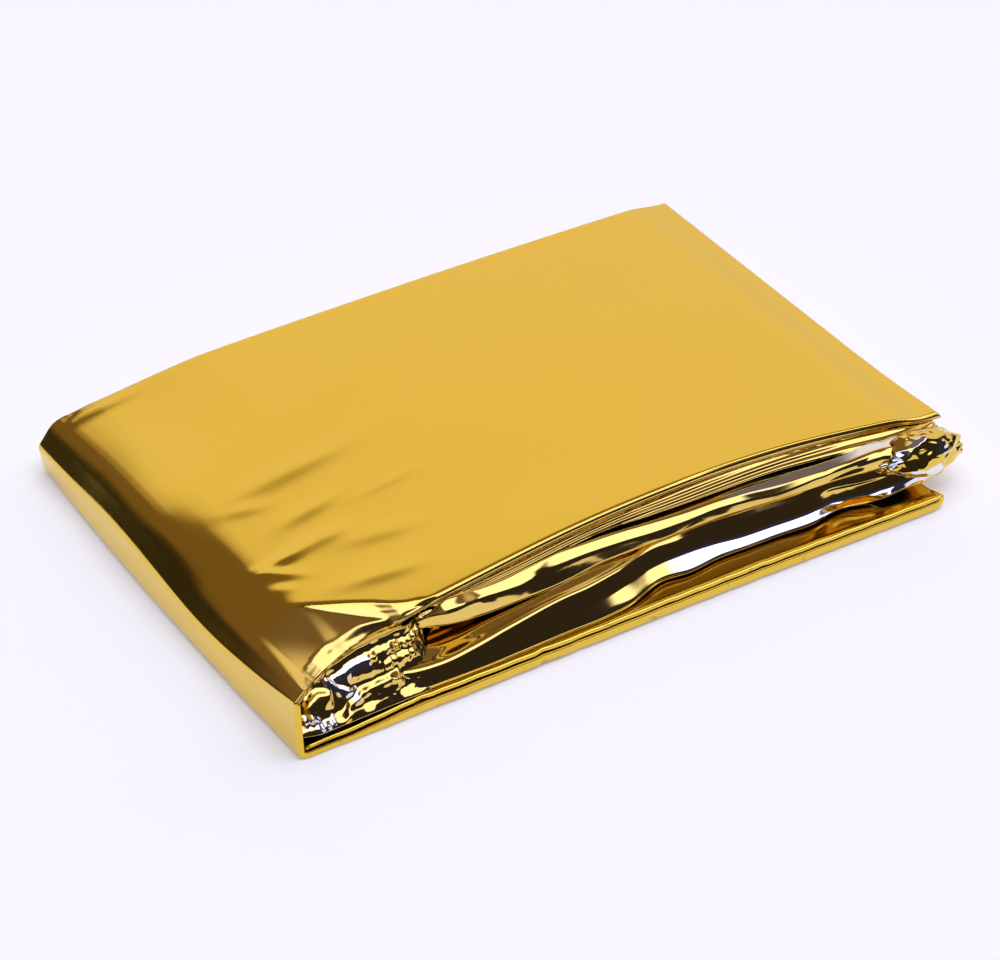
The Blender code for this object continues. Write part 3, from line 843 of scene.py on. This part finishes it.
# %% The lower roll
# Stations along X in mm, and at each: shelf y z, brow y z, knee y z, toe y z, foot y z
LOWER_X = np.array([-60, -50, -44, -38, -32, -24, -15, -9, -3, 6.5, 11, 18, 24, 30, 36.5, 43.5, 49,
                    58, 66]) * MM
LOWER = np.array([
    [[-37.0, 6.4], [-38.5, 6.0], [-39.5, 5.0], [-40.0, 4.4], [-40.0, 3.45]],
    [[-38.0, 7.2], [-41.5, 6.3], [-42.6, 5.3], [-43.8, 4.2], [-43.8, 3.35]],
    [[-38.6, 7.4], [-43.6, 6.3], [-44.7, 5.2], [-45.8, 4.1], [-45.8, 3.35]],
    [[-38.8, 7.4], [-44.5, 6.3], [-45.4, 5.0], [-46.3, 4.0], [-46.2, 3.30]],
    [[-39.0, 7.7], [-44.3, 6.7], [-45.4, 5.0], [-46.5, 4.0], [-46.4, 3.30]],
    [[-39.2, 8.3], [-43.9, 7.7], [-45.0, 5.8], [-46.6, 4.2], [-46.6, 3.30]],
    [[-39.0, 8.7], [-43.2, 8.3], [-44.4, 6.2], [-46.5, 4.2], [-46.5, 3.30]],
    [[-38.8, 9.0], [-43.1, 8.5], [-44.4, 6.2], [-46.6, 4.2], [-46.6, 3.30]],
    [[-38.6, 8.9], [-42.2, 8.5], [-43.7, 6.1], [-46.2, 4.3], [-46.2, 3.30]],
    [[-38.6, 8.4], [-39.6, 7.7], [-41.2, 5.4], [-43.4, 4.2], [-43.4, 3.30]],
    [[-38.8, 8.4], [-39.9, 7.6], [-41.3, 5.5], [-43.9, 4.0], [-43.9, 3.30]],
    [[-39.0, 8.4], [-39.9, 7.4], [-41.4, 5.1], [-43.4, 4.0], [-43.4, 3.30]],
    [[-39.2, 8.2], [-40.5, 7.1], [-42.1, 4.8], [-43.7, 3.9], [-43.6, 3.25]],
    [[-39.4, 8.2], [-40.8, 7.1], [-42.4, 4.8], [-43.9, 3.9], [-43.9, 3.25]],
    [[-39.8, 8.2], [-41.4, 6.8], [-42.9, 4.8], [-44.4, 3.9], [-44.4, 3.25]],
    [[-40.4, 8.2], [-41.6, 6.6], [-42.6, 4.6], [-43.8, 3.9], [-43.8, 3.25]],
    [[-41.0, 8.4], [-42.8, 6.8], [-44.2, 4.7], [-45.3, 3.9], [-45.3, 3.25]],
    [[-42.5, 8.8], [-44.5, 7.4], [-45.6, 5.6], [-46.0, 4.5], [-45.6, 3.35]],
    [[-42.5, 8.6], [-44.5, 7.4], [-45.4, 5.8], [-45.6, 4.6], [-45.2, 3.35]],
])


def build_lower_roll():
    """Its shelf is ribbed on the left half, and its knee shows silver on the right half."""
    x = end_stations(-60.0, 65.8, 0.42)
    cuts, counts = (0.2, 0.14, 0.12, 0.3, 0.3), (5, 8, 10, 8, 3, 5)
    rings, front = roll_rings(x, LOWER_X, LOWER, 2, 3, cuts, counts, 4, 0.0472)
    normals = ring_normals(rings)
    place = np.arange(rings.shape[1])[None, :] / front
    u, v = rings[..., 0] / MM, place * 15.0 + 0 * rings[..., 0]
    mask = bell(place - 0.5, 0.4) * (place < 1)
    wild = 0.16 + 0.9 * smooth((-40 - u) / 6) + 1.3 * smooth((u - 36) / 14)
    lumps = crumple(u, v, SEED + 2, 170, 5.0, 0.5) + crumple(u, v * 0.5, SEED + 3, 60, 16.0, 0.8)
    ribs = 0.16 * np.sin(2 * np.pi * v / 1.6) * bell(place - 0.17, 0.12) * smooth((-u + 3) / 10)
    rings = rings + normals * ((lumps * wild * 0.5 + ribs) * mask * MM)[..., None]
    rings = close_ends(rings, x)
    silver = np.maximum(smooth((u - 6) / 6) * (place > 0.5) * (place < 0.78), 0.10)
    piece = mesh_from_rings("lower_roll", rings, silver, 0.0, FOLD_FOIL)
    return dress(piece, rings)


lower_roll = build_lower_roll()

# %% [markdown]
# ## The upper plies
# Between the top leaf and the upper roll lie a few loose plies. Their front edges show as thin
# lines, which part from the leaf towards the right. They are one more flat tube, its sloping front
# ribbed by a low sine wave along the ring.

# %% The upper plies
# Stations along X in mm, and at each: brow y z, edge y z
PLY_X = np.array([-60, -44, -36, -28, 0, 13, 35, 48, 62, 67]) * MM
PLY = np.array([
    [[-34.5, 13.2], [-35.2, 12.8]], [[-35.0, 13.8], [-36.0, 13.3]], [[-37.6, 14.0], [-38.4, 13.5]],
    [[-37.3, 14.0], [-38.7, 13.3]], [[-35.0, 14.1], [-36.8, 13.0]], [[-35.0, 14.0], [-37.2, 12.7]],
    [[-35.5, 13.7], [-38.0, 12.2]], [[-36.5, 13.3], [-39.8, 11.7]], [[-38.0, 12.5], [-42.2, 11.2]],
    [[-38.0, 12.0], [-41.0, 11.0]],
])


def build_upper_plies():
    x = end_stations(-58.5, 66.8, 0.9)
    rings, front = roll_rings(x, PLY_X, PLY, 6, 6, (0.2, 0.1), (8, 14, 10), 2, 0.0452)
    normals = ring_normals(rings)
    place = np.arange(rings.shape[1])[None, :] / front
    u, v = rings[..., 0] / MM, place * 12.0 + 0 * rings[..., 0]
    lumps = crumple(u, v, SEED + 4, 60, 8.0, 0.12) * (place < 1)
    lumps = lumps + 0.07 * np.sin(2 * np.pi * (v / 2.3 + u / 60)) * bell(place - 0.5, 0.3)
    rings = rings + normals * (lumps * MM)[..., None]
    rings = close_ends(tuck(rings), x, 0.0006)
    piece = mesh_from_rings("upper_plies", rings, 0.08, 0.0, FOLD_FOIL)
    return dress(piece, rings)


upper_plies = build_upper_plies()

# %% [markdown]
# ## The crushed corner
# At the open corner by the wrapped end the folds don't lie flat: they are crushed into a hollow
# under the crescent. A sheet of short creases stands there, with its silver side out in places.

# %% The crushed corner
# Ridges of the sheet: x and z along each in mm, height, beads, and 1 where the silver side shows
RIDGES = (
    ([-57.5, -56.2, -53.2, -50.4], [8.9, 9.3, 10.1, 10.1], 0.55, 0.0, 1),
    ([-50.2, -47.1, -44.8], [10.1, 10.3, 10.5], 0.5, 0.2, 0),
    ([-46.0, -44.2, -39.3, -36.6], [10.4, 10.2, 10.4, 10.4], 0.65, 0.28, 0),
    ([-47.8, -46.7, -42.6, -41.4], [8.6, 8.8, 8.6, 8.4], 0.5, 0.22, 0),
    ([-58.0, -57.4, -55.9, -53.1, -48.0, -46.0], [3.7, 4.1, 5.5, 6.3, 6.8, 7.0], 0.85, 0.0, 0),
    ([-58.6, -58.0, -56.8, -54.8, -54.0], [9.4, 9.2, 7.9, 6.9, 6.8], 0.55, 0.0, 1),
    ([-47.6, -47.2, -44.5, -39.5, -36.0], [7.0, 6.9, 5.4, 5.5, 6.3], 0.55, 0.0, 0),
    ([-63.2, -62.5, -60.4, -58.7], [7.2, 7.5, 8.1, 7.9], 0.6, 0.0, 0),
    ([-64.6, -62.9, -61.5], [5.6, 5.9, 5.2], 0.35, 0.7, 1),
    ([-62.4, -60.2, -59.2], [4.3, 4.5, 5.0], 0.35, 0.7, 1),
    ([-53.5, -51.0, -48.5], [8.6, 8.4, 8.9], 0.35, 0.0, 0),
    ([-52.0, -50.0, -47.0], [5.0, 5.2, 5.4], 0.3, 0.0, 0),
)


def build_corner():
    """A thin crushed sheet over x and z, which leans back by 0.75 for each unit up. At a distance t
    from its line a ridge stands out by height * exp(-(t / r)^2), where r is 0.45 mm above the line
    and 1.7 mm below it, or 0.8 mm where it is beaded."""
    x = np.linspace(-66.4, -34.0, 250)
    t = np.linspace(0.0, 1.0, 110)
    u = x[:, None] + 0 * t
    top = np.interp(x, [-66.4, -64, -60, -52, -44, -34], [8.0, 9.2, 10.3, 11.6, 12.0, 11.4])[:, None]
    z = top + (3.72 - top) * np.maximum(t - 0.08, 0.0) / 0.92
    y = -40.0 - 0.753 * (11.0 - z) + 5.5 * smooth((u + 43) / 9) + 0.9 * smooth((-62 - u) / 4)
    y = y + 3.0 * np.maximum(1.0 - t / 0.08, 0.0)  # it runs back in under the leaf
    y = y - 1.1 * smooth((5.2 - z) / 1.4)  # and forward onto the lip
    out, silver = 0.0 * z, 0.0 * z
    for along, height, rise, beads, bare in RIDGES:
        off = z - np.interp(u, along, height)
        ends = smooth((u - along[0] + 0.6) / 0.9) * smooth((along[-1] + 0.6 - u) / 0.9)
        bead = 1.0 + beads * np.sin(2 * np.pi * u / 1.15)
        below = 0.8 if beads else 1.7
        out = out + rise * bead * ends * np.where(off > 0, bell(off, 0.45), bell(off, below))
        silver = np.maximum(silver, bare * ends * bell(off + 0.3, 0.8))
    out = out + crumple(u, z, SEED + 5, 150, 2.2, 0.34)
    y = y - out * smooth((u + 66.4) / 1.5) * smooth(4 * t) * smooth(8 - 8 * t)
    front = tuck(np.stack([u, y, z], axis=-1) * MM, 0.0011)
    rings = np.concatenate([front, (front + np.array([0.0, 0.3, -0.05]) * MM)[:, ::-1]], axis=1)
    silver = np.maximum(np.concatenate([silver, silver[:, ::-1]], axis=1), 0.1)
    piece = mesh_from_rings("crushed_corner", rings, silver, 0.0, FOLD_FOIL)
    return dress(piece, rings)


crushed_corner = build_corner()

# %% [markdown]
# ## The burst end
# At the other open corner the inner folds have sprung out as one crumpled knot, a little past the
# top leaf. A crumpled knot is nearly a cut stone: many small flat faces. So its surface is the
# inside of many random planes, roughened by short creases.

# %% The burst end
PLANES, CREASES = 150, 300
KNOT_HALF, KNOT_MIDDLE = np.array([9.3, 4.8, 4.9]), np.array([61.0, -43.4, 9.0])  # in mm
LIP_TOP = 3.85  # the knot is pressed flat there, in mm


def build_burst_end():
    """Radius in direction d is the least of h / (n.d) over random planes with unit normal n at
    distance h. The plane that wins also says which side of the film shows. Short creases, each
    |(p - c).m|, then roughen it, and the ball is stretched to the knot's size."""
    rng = np.random.default_rng(SEED + 8)
    turn = np.linspace(0, 2 * np.pi, 220, endpoint=False)
    rise = np.linspace(-np.pi / 2 + 0.02, np.pi / 2 - 0.02, 150)
    d = np.stack([np.sin(rise)[:, None] + 0 * turn, np.cos(rise)[:, None] * np.cos(turn),
                  np.cos(rise)[:, None] * np.sin(turn)], axis=-1)
    planes = rng.normal(size=(PLANES, 3))
    planes /= np.linalg.norm(planes, axis=1)[:, None]
    reach = np.einsum("abk,nk->abn", d, planes)
    distance = np.where(reach > 0.25, rng.uniform(0.84, 1.0, PLANES) / np.maximum(reach, 0.25), 9.0)
    shape = d * np.minimum(distance.min(axis=-1), 1.0)[..., None]
    rough = np.zeros(shape.shape[:2])
    for _ in range(CREASES):
        at = rng.integers(len(rise)), rng.integers(len(turn))
        centre, crease = shape[at], rng.normal(size=3)
        apart = shape - centre
        rough += rng.choice((-1.0, 1.0)) * np.abs(apart @ crease) * np.exp(-(apart**2).sum(axis=-1) / 0.018)
    shape = shape * (1.0 + 0.33 * np.clip(rough, -0.4, 0.4))[..., None]
    rings = shape * KNOT_HALF + KNOT_MIDDLE
    rings[..., 2] = np.maximum(rings[..., 2] - 0.10 * (rings[..., 0] - 60.4), LIP_TOP)
    bare = (rng.uniform(size=PLANES) < 0.4) & (planes @ np.array([-0.3, -0.7, 0.6]) > 0.3)
    silver = bare[distance.argmin(axis=-1)].astype(float)
    piece = mesh_from_rings("burst_end", rings * MM, np.maximum(silver, 0.05), 0.0, FOLD_FOIL)
    return dress(piece, rings * MM, knot=True)


burst_end = build_burst_end()
